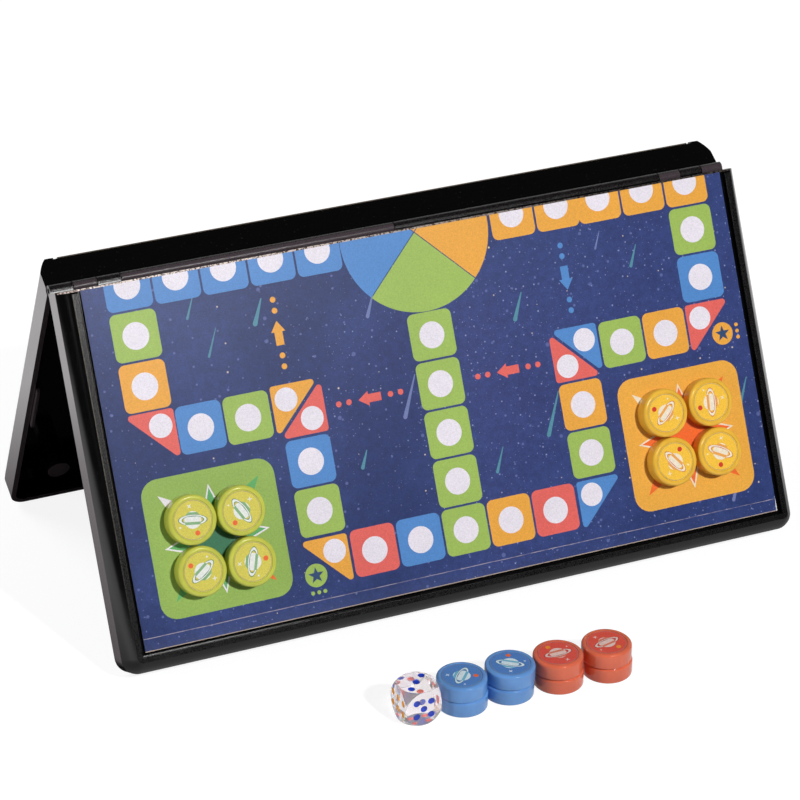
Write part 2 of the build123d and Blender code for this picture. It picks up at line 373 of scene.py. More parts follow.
def rounded(corners, radius, steps=6):
    # a polygon with each corner rounded by an arc
    points = []
    count = len(corners)
    for number, corner in enumerate(corners):
        here = Vector(corner)
        before = (Vector(corners[number - 1]) - here).normalized()
        after = (Vector(corners[(number + 1) % count]) - here).normalized()
        half = before.angle(after) / 2
        middle = here + (before + after).normalized() * (radius / math.sin(half))
        start = here + before * (radius / math.tan(half)) - middle
        end = here + after * (radius / math.tan(half)) - middle
        sweep = math.atan2(start.x * end.y - start.y * end.x, start.dot(end))
        for step in range(steps + 1):
            turned = start.copy()
            turned.rotate(Matrix.Rotation(sweep * step / steps, 2))
            points.append(tuple(middle + turned))
    return points


def squareRing(x, y, half, radius):
    left, right, top, bottom = x - half, x + half, y - half, y + half
    return rounded([(left, top), (right, top), (right, bottom), (left, bottom)], radius)


def starRing(middle, outer, inner, points, turn=0.0):
    ring = []
    for step in range(2 * points):
        angle = turn + math.pi * step / points
        reach = inner if step % 2 else outer
        ring.append((middle[0] + reach * math.sin(angle), middle[1] + reach * math.cos(angle)))
    return ring


def cellPlace(count):
    return count if abs(count) < 3.5 else count + math.copysign(board["outerShift"], count)


def boardShapes():
    # every printed figure of the front half in pitches, x from the middle and y down from the first row
    shapes = []
    hub = board["hub"]
    for colour, start in (("blue", 135), ("green", 45), ("yellow", -45), ("yellow", -135)):
        wedge = [(0.0, 0.0)] + arcPoints((0, 0), hub, start, start + 90, 24)
        middle = math.radians(start + 45)
        gap = board["hubLine"] / math.sin(math.radians(45))
        shapes.append((colour, [(x + gap * math.cos(middle), y + gap * math.sin(middle)) for x, y in wedge]))
    for colour, places in cells.items():
        for column, row in places:
            x, y = cellPlace(column), cellPlace(row)
            if column == 0 and row < 6:
                y = row + board["outerShift"]
            shapes.append((colour, squareRing(x, y, board["cell"] / 2, board["cellRound"])))
            shapes.append(("white", ringAround((x, y), board["dot"])))
    for colour, corner, (right, down) in triangles:
        leg = board["triangleLeg"]
        ring = [corner, (corner[0] + right * leg, corner[1]), (corner[0], corner[1] + down * leg)]
        shapes.append((colour, rounded(ring, board["triangleRound"])))
        inset = board["triangleDotIn"]
        shapes.append(("white", ringAround((corner[0] + right * inset, corner[1] + down * inset),
                                           board["triangleDot"])))
    for colour, middle, way in arrows:
        shapes.extend(arrowShapes(colour, middle, way))
    for colour, (x, y, half) in board["bases"].items():
        shapes.append((colour, squareRing(x, y, half, board["baseRound"])))
        shapes.extend(compassShapes((x, y), colour))
    shapes.extend(badgeShapes("green", (-3.31, 6.35), (0, 1)))
    shapes.extend(badgeShapes("yellow", (6.38, 3.245), (1, 0)))
    return shapes


def arrowShapes(colour, middle, way):
    along, across = Vector(way), Vector((-way[1], way[0]))
    centre = Vector(middle)
    half, shaft, head = board["arrowHalf"], board["arrowShaft"], board["arrowHead"]
    neck = half - board["arrowHeadLong"]
    profile = [(-half, -shaft), (neck, -shaft), (neck, -head), (half, 0), (neck, head), (neck, shaft),
               (-half, shaft)]
    shapes = [(colour, [tuple(centre + along * a + across * b) for a, b in profile])]
    for reach in board["trailDots"]:
        for end in (-reach, reach):
            shapes.append((colour, ringAround(centre + along * end, board["trailDot"], 16)))
    return shapes


compass = {                 # in pitches
    "outer": 1.10,
    "inner": 0.42,
    "overOuter": 1.02,      # a second star laid over the first
    "overInner": 0.36,
    "blade": 1.50,          # reach of the four long blades
    "bladeFoot": 0.4,
    "bladeHalf": 0.34,
    "heart": 0.60,
}


def compassShapes(middle, base):
    # a plain compass star under the four discs of a base, with pale tips and one bright one
    warm = base == "baseYellow"
    pale, mid = ("cream", "orange") if warm else ("white", "midGreen")
    shapes = [(pale, starRing(middle, compass["outer"], compass["inner"], 4)),
              (mid, starRing(middle, compass["overOuter"], compass["overInner"], 4))]
    for turn, colour in ((0.75, pale), (0.25, mid), (1.25, mid), (1.75, "orange")):
        angle = math.pi * turn
        along = Vector((math.cos(angle), -math.sin(angle)))
        across = Vector((math.sin(angle), math.cos(angle)))
        foot, side = along * compass["bladeFoot"], across * compass["bladeHalf"]
        blade = [along * compass["blade"], foot + side, foot - side]
        shapes.append((colour, [tuple(Vector(middle) + corner) for corner in blade]))
    shapes.append(("orange" if warm else "heartGreen", ringAround(middle, compass["heart"], 48)))
    return shapes


badge = {                   # in pitches
    "radius": 0.235,
    "star": 0.17,
    "starInner": 0.07,
    "dotsBelow": 0.34,
    "dotStep": 0.13,
    "dot": 0.042,
}


def badgeShapes(colour, middle, below):
    # a round start mark with a plain star, and three dots under it
    shapes = [(colour, ringAround(middle, badge["radius"])),
              ("navyInk", starRing(middle, badge["star"], badge["starInner"], 5, math.pi))]
    side = (-below[1], below[0])
    for step in (-1, 0, 1):
        spot = [middle[axis] + below[axis] * badge["dotsBelow"] + side[axis] * badge["dotStep"] * step
                for axis in (0, 1)]
        shapes.append((colour, ringAround(spot, badge["dot"], 12)))
    return shapes


comet = {                   # in pitches
    "lean": -24,            # degrees
    "length": (0.35, 0.95),
    "width": (0.02, 0.05),
    "stray": 0.1,
    "places": [(-4.65, 1.75), (-3.55, 1.2), (-4.95, 0.85), (-1.9, 4.35), (-1.35, 1.55), (1.75, 2.05),
               (4.55, 1.5), (2.05, 4.5), (-0.95, 3.6), (0.95, 5.1), (3.9, 0.95), (6.35, 4.9), (-6.6, 5.0),
               (6.0, 6.75)],
}


def cometShapes(seed):
    # a few comets falling the same way, in places that this sheet has to itself
    dice = random.Random(seed)
    stray = comet["stray"]
    lean = math.radians(comet["lean"])
    fall = Vector((math.sin(lean), math.cos(lean)))
    side = Vector((fall.y, -fall.x))
    shapes = []
    for x, y in comet["places"]:
        head = Vector((x + dice.uniform(-stray, stray), y + dice.uniform(-stray, stray)))
        length, width = dice.uniform(*comet["length"]), dice.uniform(*comet["width"])
        ring = [tuple(head + side * x + fall * y) for x, y in arcPoints((0, 0), width, 0, 180, 8)]
        tail = head - fall * length
        ring += [tuple(tail - side * width * 0.25), tuple(tail + side * width * 0.25)]
        shapes.append((dice.choice(("comet", "comet", "streak")), ring))
    return shapes


def pavedSheet(outline, shapes, lines=(), loose=()):
    # cuts an outline into triangles along every shape, and gives each triangle the last shape that covers it
    points, faces, edges = [], [], []
    for ring in [outline] + [ring for _, ring in shapes]:
        area = sum(a[0] * b[1] - a[1] * b[0] for a, b in zip(ring, ring[1:] + ring[:1]))
        ring = list(ring) if area > 0 else list(reversed(ring))
        faces.append(list(range(len(points), len(points) + len(ring))))
        points.extend(Vector(point) for point in ring)
    for start, end in lines:
        edges.append((len(points), len(points) + 1))
        points.extend((Vector(start), Vector(end)))
    points.extend(Vector(point) for point in loose)
    spots, _, tiles, _, _, covers = delaunay_2d_cdt(points, edges, faces, 1, 1e-5)
    kept = [(tile, max(cover)) for tile, cover in zip(tiles, covers) if 0 in cover]
    return spots, [tile for tile, _ in kept], [top for _, top in kept]


def ringVerts(made, middle, radius, steps, height):
    return [made.verts.new((x * mm, y * mm, height * mm)) for x, y in ringAround(middle, radius, steps)]


def bridge(made, low, high, material=0):
    # faces between two rings, of which either may be a single point
    count = max(len(low), len(high))
    for step in range(count):
        after = (step + 1) % count
        corners = [low[step], low[after]] if len(low) > 1 else [low[0]]
        corners += [high[after], high[step]] if len(high) > 1 else [high[0]]
        made.faces.new(corners).material_index = material


def dropLoose(made):
    for vert in [vert for vert in made.verts if not vert.link_faces]:
        made.verts.remove(vert)


def finished(made, name, materials=()):
    made.normal_update()
    mesh = bpy.data.meshes.new(name)
    made.to_mesh(mesh)
    made.free()
    for material in materials:
        mesh.materials.append(material)
    return mesh


def sheetMesh(name, outline, shapes, lines, paints, slots, height, thickness, edgeSlot):
    # a thin sheet with its print cut into the top face. height gives the top at a spot, slots the paint of
    # each number with the underside's at 1, and edgeSlot the number for a side face
    spots, tiles, tops = pavedSheet(outline, shapes, lines)
    made = bmesh.new()
    top = [made.verts.new((spot.x * mm, spot.y * mm, height(spot) * mm)) for spot in spots]
    for tile, cover in zip(tiles, tops):
        face = made.faces.new([top[corner] for corner in tile])
        face.material_index = slots.index(shapes[cover - 1][0]) if cover else 0
    dropLoose(made)
    rim = [edge for edge in made.edges if len(edge.link_faces) == 1]
    drop = Vector((0, 0, thickness * mm))
    below = {vert: made.verts.new(vert.co - drop) for vert in list(made.verts)}
    for edge in rim:
        loop = edge.link_faces[0].loops[0]
        while loop.edge != edge:
            loop = loop.link_loop_next
        a, b = loop.vert, loop.link_loop_next.vert
        made.faces.new((b, a, below[a], below[b])).material_index = edgeSlot(a, b)
    for face in [face for face in made.faces if all(vert in below for vert in face.verts)]:
        made.faces.new([below[vert] for vert in reversed(face.verts)]).material_index = 1
    return finished(made, name, [paints[slot] for slot in slots])


def cardMesh(name, shapes, paints):
    low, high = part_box("front_board_card")
    left, right = (low[0] - hinge.x) / mm, (high[0] - hinge.x) / mm
    start, crease, end = card["start"], card["crease"], card["end"]
    outline = [(left, end), (right, end), (right, start), (left, start)]
    frayed = end + card["frayed"]
    byCrease, byEnd = card["bareEdge"]
    shapes = shapes + [
        ("fray", [(left, end), (right, end), (right, frayed), (left, frayed)]),
        ("paper", [(right - byEnd, end), (right, end), (right, crease), (right - byCrease, crease)]),
    ]
    strip = crease - end
    lines = []
    for step in range(card["stripSteps"]):
        y = crease - strip * step / card["stripSteps"]
        lines.append(((left, y), (right, y)))
    slots = ["night", "core", "hingeCore"] + sorted({colour for colour, _ in shapes})

    def height(spot):
        past = max(0.0, (crease - spot.y) / strip)
        return card["top"] + card["curl"] * (past + past * past) / 2

    def edgeSlot(a, b):
        atHinge = min(a.co.y, b.co.y) > (start - 0.01) * mm
        return slots.index("hingeCore" if atHinge else "core")

    return sheetMesh(name, outline, shapes, lines, paints, slots, height, card["thickness"], edgeSlot)


def place(name, mesh, matrix, body, node=None):
    piece = bpy.data.objects.new(name, mesh)
    bpy.context.scene.collection.objects.link(piece)
    piece.matrix_world = matrix
    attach(piece, body)
    if node:
        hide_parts(node)


def smooth(mesh, sharpAngle=32):
    for polygon in mesh.polygons:
        polygon.use_smooth = True
    mesh.set_sharp_from_angle(angle=math.radians(sharpAngle))


def onSheet(shapes, colours):
    # from pitches on the printed path to millimetres in a half's own frame
    pitch = board["pitch"]
    placed = []
    for colour, ring in shapes:
        spots = [(board["printShift"] + x * pitch, -board["rowZero"] - y * pitch) for x, y in ring]
        placed.append((colours.get(colour, colour), spots))
    return placed


def corePaint(name):
    paint = Paint("card_" + name)
    fibre = paint.noise(3000, 2)
    shade = paint.vary(fibre, 0.7, 1.3)
    return paint.surface({"Base Color": paint.tint(card[name], shade), "Roughness": 0.8})


paints = {name: inkPaint(name, colour) for name, colour in ink.items()}
paints["night"] = nightPaint()
for name in ("core", "hingeCore"):
    paints[name] = corePaint(name)
for side, colours, seed in (("front", {}, 4), ("back", opposite, 9)):
    printed = onSheet(cometShapes(seed) + boardShapes(), colours)
    sheet = cardMesh(side + "BoardCard", printed, paints)
    place(side + "BoardCard", sheet, halves[side], side + "_half", side + "_board_card")
print("cards printed")


# Trays and what is built into them

tray = {
    "crest": 14.2,
    "crestFrom": 116.6,     # the crest at the sides, from the middle
    "crestTo": 118.6,
    "barrel": 1.9,          # the hinge knuckles' radius
    "side": 122.5,          # half the width
    "spineEdge": -1.42,     # the painted highlight at the hinge edge lies between these two,
    "spineFace": -0.82,
    "hingeHighlightAbove": 9.0,      # and above this height
    "base": (0.0026, 0.0025, 0.0027),
    # painted sheen: the side walls are tinted lighter than the black moulding, in place of their reflection
    # of the floor
    "sideSheenTint": (0.035, 0.014, 0.022),
    "meetingLightTint": (0.060, 0.045, 0.052),   # rims and posts where the halves meet, painted lighter so they show in the shaded hollow
    "crestBase": (0.0045, 0.0043, 0.0045),
    # painted highlight along the crest's left edges
    "crestHighlight": (0.11, 0.098, 0.082),
    "barrelBase": (0.018, 0.015, 0.015),
    # a painted highlight along the hinge edge, speckled between these two colours
    "hingeHighlight": (0.85, 0.72, 0.66),
    "hingeHighlightBase": (0.10, 0.055, 0.04),
}


def trayPaint(side):
    paint = Paint("moulding_" + side)
    at = paint.own()
    away = paint.vectors("SUBTRACT", at, tuple(hinge))
    turn = halves[side].to_3x3()
    height = paint.vectors("DOT_PRODUCT", away, turn.col[2], out="Value")
    crest = paint.soft(height, (tray["crest"] - 0.12) * mm, (tray["crest"] - 0.02) * mm)
    across = paint.vectors("MULTIPLY", away, (0, 1, 1))
    reach = paint.vectors("LENGTH", across, out="Value")
    barrel = 1 - paint.soft(reach, (tray["barrel"] + 0.03) * mm, (tray["barrel"] + 0.1) * mm)
    rough = crest.calc("MAXIMUM", barrel)
    speck = paint.noise(3800, 2, at, 0.7)
    smear = paint.noise(70, 3, at)
    dust = paint.soft(paint.noise(1900, 1, at), 0.74, 0.78)
    colour = paint.mix(crest * paint.spread(speck, 0.0, 1.0, 0.40, 0.62), tray["base"], tray["crestBase"])
    colour = paint.mix(barrel * paint.soft(speck, 0.40, 0.62), colour, tray["barrelBase"])
    aside = paint.part(away, 0).calc("ABSOLUTE")
    wall = paint.soft(aside, (tray["side"] - 0.12) * mm, (tray["side"] - 0.03) * mm)
    # painted sheen on the side walls
    colour = paint.mix(wall, colour, tray["sideSheenTint"])
    # painted light: the faces where the halves meet are lighter so they show in the shade
    colour = paint.mix(1 - paint.soft(height, 0.2 * mm, 0.4 * mm), colour, tray["meetingLightTint"])
    if side == "front":
        # two painted highlight lines along the crest's left edges, fading down the board, and a speckled
        # painted highlight along the hinge edge
        left = paint.part(away, 0) * -1
        toInner = (left - tray["crestFrom"] * mm).calc("ABSOLUTE")
        toOuter = (left - tray["crestTo"] * mm).calc("ABSOLUTE")
        line = (1 - paint.soft(toInner.calc("MINIMUM", toOuter), 0.00022, 0.00034)) * crest
        line = line * paint.spread(speck, 0.35, 1.0, 0.38, 0.6)
        upward = paint.vectors("DOT_PRODUCT", away, turn.col[1], out="Value")
        line = line * paint.spread(upward, 0.0, 1.0, -112 * mm, -60 * mm)
        colour = paint.mix(line, colour, tray["crestHighlight"])
        edge = paint.soft(upward, (tray["spineEdge"] - 0.03) * mm, tray["spineEdge"] * mm)
        edge = edge * (1 - paint.soft(upward, (tray["spineFace"] - 0.04) * mm, tray["spineFace"] * mm))
        edge = edge * paint.soft(height, tray["hingeHighlightAbove"] * mm, (tray["hingeHighlightAbove"] + 0.2) * mm)
        # painted highlight along the hinge edge, speckled and fading towards the right
        flecks = paint.soft(paint.noise(1500, 2, at, 0.7), 0.42, 0.52)
        wearAndHighlight = paint.mix(flecks, tray["hingeHighlightBase"], tray["hingeHighlight"])
        colour = paint.mix(edge * paint.spread(left, 0.08, 1.0, -70 * mm, 60 * mm), colour, wearAndHighlight)
    colour = paint.mix(dust * 0.35, colour, (0.09, 0.085, 0.085))
    shine = paint.vary(smear, 0.10, 0.18) + rough * paint.spread(speck, 0.04, 0.30, 0.40, 0.60)
    return paint.surface({
        "Base Color": colour,
        "Roughness": shine,
        "Coat Weight": wall * 0.40,
        "Coat Roughness": 0.12,
        "Normal": paint.bump(speck * rough, 0.35, 0.00006),
    })


def plainPaint(name, colour, roughness, metallic=0.0):
    paint = Paint(name)
    grain = paint.noise(900, 2)
    return paint.surface({
        "Base Color": paint.tint(colour, paint.vary(grain, 0.95, 1.05)),
        "Roughness": paint.spread(grain, roughness * 0.8, roughness * 1.2),
        "Metallic": metallic,
    })


steelPaint = plainPaint("sheet_steel", (0.55, 0.55, 0.57), 0.32, 1.0)
magnetPaint = plainPaint("plated_magnet", (0.40, 0.33, 0.36), 0.35, 0.9)


def dress(node, material):
    target = frame["nodes"][node]
    for slot in target.material_slots:
        slot.material = material


for side in ("front", "back"):
    dress(side + "_tray", trayPaint(side))
    dress(side + "_steel_plate", steelPaint)
    dress(side + "_closing_magnets", magnetPaint)
for pin in ("hinge_pin_left", "hinge_pin_right"):
    dress(pin, steelPaint)

embossing = {               # low hexagons in rows on the inside of each board
    "pitch": 1.9,
    "radius": 0.72,
    "taper": 0.72,          # the top's size against the foot's
    "height": 0.12,
    "ceiling": 11.0,        # above the parting plane
    "halfWidth": 104.0,
    "reach": (-26.0, -72.0),
}


def embossedMesh():
    made = bmesh.new()
    pitch, half = embossing["pitch"], embossing["halfWidth"]
    first, last = embossing["reach"]
    rowStep = pitch * math.sin(math.radians(60))
    low, high = embossing["ceiling"] - embossing["height"], embossing["ceiling"] + 0.05
    for row in range(int((first - last) / rowStep)):
        y = first - row * rowStep
        for column in range(int(2 * half / pitch)):
            x = -half + (column + 0.5 * (row % 2)) * pitch
            foot = ringVerts(made, (x, y), embossing["radius"], 6, high)
            face = ringVerts(made, (x, y), embossing["radius"] * embossing["taper"], 6, low)
            made.faces.new(list(reversed(face)))
            bridge(made, face, foot)
    return finished(made, "embossing", [embossingGlintPaint])


# painted highlight: the black embossing is given a light grey so its dots show as glints in the shaded hollow
embossingGlintPaint = plainPaint("embossed_plastic", (0.34, 0.325, 0.33), 0.6)
for side in ("front", "back"):
    place(side + "Embossing", embossedMesh(), halves[side], side + "_half")
print("trays dressed")


# Discs

disc = {
    "radius": 8.25,
    "height": 5.5,
    "edge": 1.0,
    "foot": 0.5,
    "labelWell": 6.7,
    "wellEdge": 0.08,       # small bevel round the label's well
    "labelRecess": 0.3,
    "labelRadius": 6.6,
    "labelMiddle": 5.275,    # the label's middle above the disc's foot
    "labelThickness": 0.15,
    "magnetWell": 5.05,
    "magnetDepth": 1.6,
    "segments": 96,
}
discPlastic = {
    "green": (0.58, 0.60, 0.09),
    "yellow": (0.86, 0.50, 0.055),
    "blue": (0.135, 0.32, 0.68),
    "red": (0.74, 0.15, 0.075),
}
labelInk = {
    "green": (0.68, 0.60, 0.105),
    "yellow": (0.94, 0.56, 0.06),
    "blue": (0.085, 0.23, 0.58),
    "red": (0.76, 0.09, 0.062),
}
motifInk = {  # pale, mid and dark tone of the planet, and its moon
    "green": ((0.80, 0.82, 0.78), (0.25, 0.45, 0.22), (0.05, 0.20, 0.10), (0.85, 0.16, 0.05)),
    "yellow": ((0.88, 0.78, 0.62), (0.85, 0.38, 0.08), (0.62, 0.11, 0.03), (0.65, 0.05, 0.03)),
    "blue": ((0.70, 0.82, 0.88), (0.16, 0.48, 0.66), (0.02, 0.16, 0.30), (0.85, 0.16, 0.04)),
    "red": ((0.82, 0.60, 0.55), (0.72, 0.20, 0.12), (0.32, 0.02, 0.02), (0.85, 0.30, 0.03)),
}


def latheMesh(name, profile, segments):
    # profile is (radius, height) from the axis below round to the axis above
    made = bmesh.new()
    rings = [ringVerts(made, (0, 0), radius, segments if radius else 1, height) for radius, height in profile]
    for low, high in zip(rings, rings[1:]):
        bridge(made, low, high)
    mesh = finished(made, name)
    smooth(mesh)
    return mesh


def discProfile():
    radius, height, edge, foot = disc["radius"], disc["height"], disc["edge"], disc["foot"]
    well, bevel = disc["labelWell"], disc["wellEdge"]
    profile = [(0, disc["magnetDepth"]), (disc["magnetWell"], disc["magnetDepth"]), (disc["magnetWell"], 0.0)]
    profile += arcPoints((radius - foot, foot), foot, -90, 0, 5)
    profile += arcPoints((radius - edge, height - edge), edge, 0, 90, 10)
    profile += [(well + bevel, height), (well, height - bevel)]
    profile += [(well, height - disc["labelRecess"]), (0, height - disc["labelRecess"])]
    return profile


def discPaint(colour):
    paint = Paint("disc_" + colour)
    swirl = paint.noise(160, 3)
    return paint.surface({
        "Base Color": paint.tint(discPlastic[colour], paint.vary(swirl, 0.93, 1.06)),
        "Roughness": paint.spread(paint.noise(500, 3), 0.10, 0.20),
        "Subsurface Weight": 0.12,
        "Subsurface Radius": (0.002, 0.002, 0.001),
        "Normal": paint.bump(paint.noise(700, 2), 0.05, 0.00008),
    })


planet = {                  # the labels' picture
    "ground": 6.27,         # the coloured round, inside its rim
    # outer edge of the light ring round the label, a painted highlight
    "rim": 6.42,
    "tilt": 24,             # degrees
    "radius": 2.85,
    "belts": [("mid", 0.65, 1.55), ("mid", -2.5, -1.4), ("dark", -1.4, -1.1)],
    "ringLine": (4.95, 3.45),
    "ring": (4.68, 3.75),
    "squash": 0.36,
    "moon": (-3.1, 3.3),
    "moonRadius": 0.85,
    "stars": [((2.8, -3.6), 0.95, 0.26), ((3.0, 3.9), 0.55, 0.18)],
    "starTurn": 0.2,
}


def halfRing(outer, inner, start):
    # half of the planet's ring, from the start angle on
    tilt = Matrix.Rotation(math.radians(planet["tilt"]), 2)
    end = start + 180
    arcs = arcPoints((0, 0), outer, start, end, 24) + arcPoints((0, 0), inner, end, start, 24)
    return [tuple(tilt @ Vector((x, y * planet["squash"]))) for x, y in arcs]


def belt(low, high):
    # the part of the planet between two parallel lines
    radius, tilt = planet["radius"], planet["tilt"]
    first, last = [math.degrees(math.asin(reach / radius)) for reach in (low, high)]
    return (arcPoints((0, 0), radius, tilt + first, tilt + last, 8)
            + arcPoints((0, 0), radius, tilt + 180 - last, tilt + 180 - first, 8))


def labelShapes():
    def ringHalf(start):
        return [(tone, halfRing(*planet[reach], start))
                for tone, reach in (("dark", "ringLine"), ("pale", "ring"))]

    shapes = [("rim", ringAround((0, 0), planet["rim"], 72)),
              ("label", ringAround((0, 0), planet["ground"], 72))]
    shapes += ringHalf(0)
    shapes.append(("pale", ringAround((0, 0), planet["radius"], 48)))
    for tone, low, high in planet["belts"]:
        shapes.append((tone, belt(low, high)))
    shapes += ringHalf(180)
    shapes.append(("moon", ringAround(planet["moon"], planet["moonRadius"], 24)))
    for spot, outer, inner in planet["stars"]:
        shapes.append(("pale", starRing(spot, outer, inner, 4, planet["starTurn"])))
    return shapes


def labelMesh(name, tones):
    slots = ["label", "edge", "rim", "pale", "mid", "dark", "moon"]
    outline = ringAround((0, 0), disc["labelRadius"], disc["segments"])
    thickness = disc["labelThickness"]
    return sheetMesh(name, outline, labelShapes(), (), tones, slots, lambda spot: thickness / 2, thickness,
                     lambda a, b: slots.index("edge"))


def labelPaint(name, colour, roughness=0.33):
    paint = Paint(name)
    grain = paint.noise(2600, 2)
    return paint.surface({
        "Base Color": paint.tint(colour, paint.vary(grain, 0.88, 1.12)),
        "Roughness": paint.spread(grain, roughness * 0.85, roughness * 1.2),
        "Specular IOR Level": 0.25,
    })


discTurns = {               # degrees
    "green": (148, 96, 12, 230),
    "yellow": (20, 62, 285, 128),
    "blue": (40, 205, 120, 300),
    "red": (80, 338, 15, 170),
}
discMesh = latheMesh("discBody", discProfile(), disc["segments"])
for colour in ("green", "yellow", "blue", "red"):
    bodyMesh = discMesh.copy()
    bodyMesh.materials.append(discPaint(colour))
    tones = {
        "label": labelPaint("label_" + colour, labelInk[colour]),
        "edge": labelPaint("label_edge_" + colour, tuple(0.5 * share for share in labelInk[colour]), 0.7),
        # the rim ring's light grey is a painted highlight, for the light caught in the gap round the label
        "rim": labelPaint("label_rim_" + colour, tuple(0.15 * share + 0.22 for share in labelInk[colour])),
    }
    for tone, shade in zip(("pale", "mid", "dark", "moon"), motifInk[colour]):
        tones[tone] = labelPaint(f"motif_{tone}_{colour}", shade)
    faceMesh = labelMesh("label_" + colour, tones)
    onBoard = colour in ("green", "yellow")
    upright = halves["front"].to_3x3().to_4x4() if onBoard else Matrix.Identity(4)
    for number in (1, 2, 3, 4):
        node = f"{colour}_disc_{number}"
        low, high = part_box(node + "_label")
        middle = (Vector(low) + Vector(high)) / 2
        turned = upright @ Matrix.Rotation(math.radians(discTurns[colour][number - 1]), 4, "Z")
        body = f"{colour}_piece_{number}"
        foot = middle - upright.to_3x3().col[2] * disc["labelMiddle"] * mm
        place(f"{colour}Disc{number}", bodyMesh, Matrix.Translation(foot) @ turned, body,
              node)
        place(f"{colour}Label{number}", faceMesh, Matrix.Translation(middle) @ turned, body,
              node + "_label")
        dress(node + "_magnet", magnetPaint)
print("discs made")


# Die

die = {
    "size": 12.5,
    "ball": 8.75,           # the ball that rounds the corners
    "pip": 1.15,
    "onePip": 1.9,
    "depth": 0.35,
    "step": 2.5,            # from a face's middle to its pips
    "longStep": 3.0,        # the same on the face with three
    "rowStep": 4.0,         # along a row of three, on the face with six
    "rowOffset": 2.0,
    "ringSteps": 96,
    "pipSteps": 28,
    "bowlSteps": 4,
    "ballPoints": 2400,
    "flatMargin": 0.12,     # the ball's points keep this far from the flats
    "merge": 0.003,
    "pipInk": {1: "red", 2: "blue", 3: "blue", 4: "red", 5: "blue", 6: "orange"},
    "ink": {"blue": (0.014, 0.05, 0.50), "orange": (1.0, 0.42, 0.01), "red": (0.85, 0.075, 0.05)},
}


def diePips():
    step, far = die["step"], die["longStep"]
    corners = [(-step, -step), (step, -step), (-step, step), (step, step)]
    return {
        1: [(0, 0)],
        2: [(-step, -step), (step, step)],
        3: [(-far, -far), (0, 0), (far, far)],
        4: corners,
        5: corners + [(0, 0)],
        6: [(x * die["rowStep"], y * die["rowOffset"]) for x in (-1, 0, 1) for y in (-1, 1)],
    }


dieFaces = {  # the way each face looks and the way its pips are laid along
    3: ((0, 0, 1), (1, 0, 0)),
    4: ((0, 0, -1), (1, 0, 0)),
    5: ((0, -1, 0), (1, 0, 0)),
    2: ((0, 1, 0), (-1, 0, 0)),
    6: ((-1, 0, 0), (0, -1, 0)),
    1: ((1, 0, 0), (0, 1, 0)),
}


def dieMesh():
    # six flats with sunk pips, joined by what is left of the ball between them
    half, ball = die["size"] / 2, die["ball"]
    reach = math.sqrt(ball * ball - half * half)
    made = bmesh.new()
    flats = {}
    for points, (normal, across) in dieFaces.items():
        normal, across = Vector(normal), Vector(across)
        flats[points] = Matrix((across, normal.cross(across), normal)).transposed()

    def onFlat(points, x, y, depth=0.0):
        return made.verts.new(flats[points] @ Vector((x, y, half - depth)) * mm)

    def unrolled(spot):
        return spot.x / (ball + spot.z), spot.y / (ball + spot.z)  # the ball seen from its lowest point

    rings = {}
    for points, turn in flats.items():
        rim = ringAround((0, 0), reach, die["ringSteps"])
        rings[points] = [unrolled(turn @ Vector((x, y, half))) for x, y in rim]
    loose = []
    golden = math.pi * (3 - math.sqrt(5))
    for number in range(die["ballPoints"]):
        z = 1 - 2 * (number + 0.5) / die["ballPoints"]
        level = math.sqrt(1 - z * z)
        spot = ball * Vector((level * math.cos(golden * number), level * math.sin(golden * number), z))
        if max(map(abs, spot)) < half - die["flatMargin"]:
            loose.append(unrolled(spot))
    holes = [("flat", ring) for points, ring in rings.items() if points != 4]
    spots, tiles, tops = pavedSheet(rings[4], holes, loose=loose)
    rolled = []
    for u, v in spots:
        spread = u * u + v * v
        rolled.append(made.verts.new(Vector((2 * u, 2 * v, 1 - spread)) * (ball / (1 + spread) * mm)))
    for tile, cover in zip(tiles, tops):
        if not cover:
            made.faces.new([rolled[corner] for corner in tile])
    for points, places in diePips().items():
        radius = die["onePip"] if points == 1 else die["pip"]
        ink = 1 + list(die["ink"]).index(die["pipInk"][points])
        pips = [("pip", ringAround(spot, radius, die["pipSteps"])) for spot in places]
        spots, tiles, tops = pavedSheet(ringAround((0, 0), reach, die["ringSteps"]), pips)
        sheet = [onFlat(points, *spot) for spot in spots]
        for tile, cover in zip(tiles, tops):
            if not cover:
                made.faces.new([sheet[corner] for corner in tile])
        for spot in places:
            bowl = []
            for level in range(die["bowlSteps"]):
                slope = math.pi / 2 * level / die["bowlSteps"]
                dots = ringAround(spot, radius * math.cos(slope), die["pipSteps"])
                bowl.append([onFlat(points, *dot, die["depth"] * math.sin(slope)) for dot in dots])
            bowl.append([onFlat(points, *spot, die["depth"])])
            for outer, inner in zip(bowl, bowl[1:]):
                bridge(made, outer, inner, ink)
    bmesh.ops.remove_doubles(made, verts=made.verts[:], dist=die["merge"] * mm)
    dropLoose(made)
    bmesh.ops.recalc_face_normals(made, faces=made.faces[:])
    mesh = finished(made, "dieBody")
    smooth(mesh)
    return mesh


def acrylicPaint():
    paint = Paint("clear_acrylic")
    return paint.surface({"Base Color": (0.93, 0.88, 0.905), "Roughness": 0.03, "IOR": 1.49,
                          "Transmission Weight": 0.86})


def pipPaint(name):
    paint = Paint("pip_" + name)
    pool = paint.noise(900, 2)
    return paint.surface({
        "Base Color": paint.tint(die["ink"][name], paint.vary(pool, 0.75, 1.3)),
        "Roughness": 0.14,
    })


clearDie = dieMesh()
clearDie.materials.append(acrylicPaint())
for name in die["ink"]:
    clearDie.materials.append(pipPaint(name))
low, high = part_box("die")
dieMiddle = Matrix.Translation((Vector(low) + Vector(high)) / 2)
place("dieBody", clearDie, dieMiddle, "die_piece", "die")
print("die made")


# Floor, lights and camera

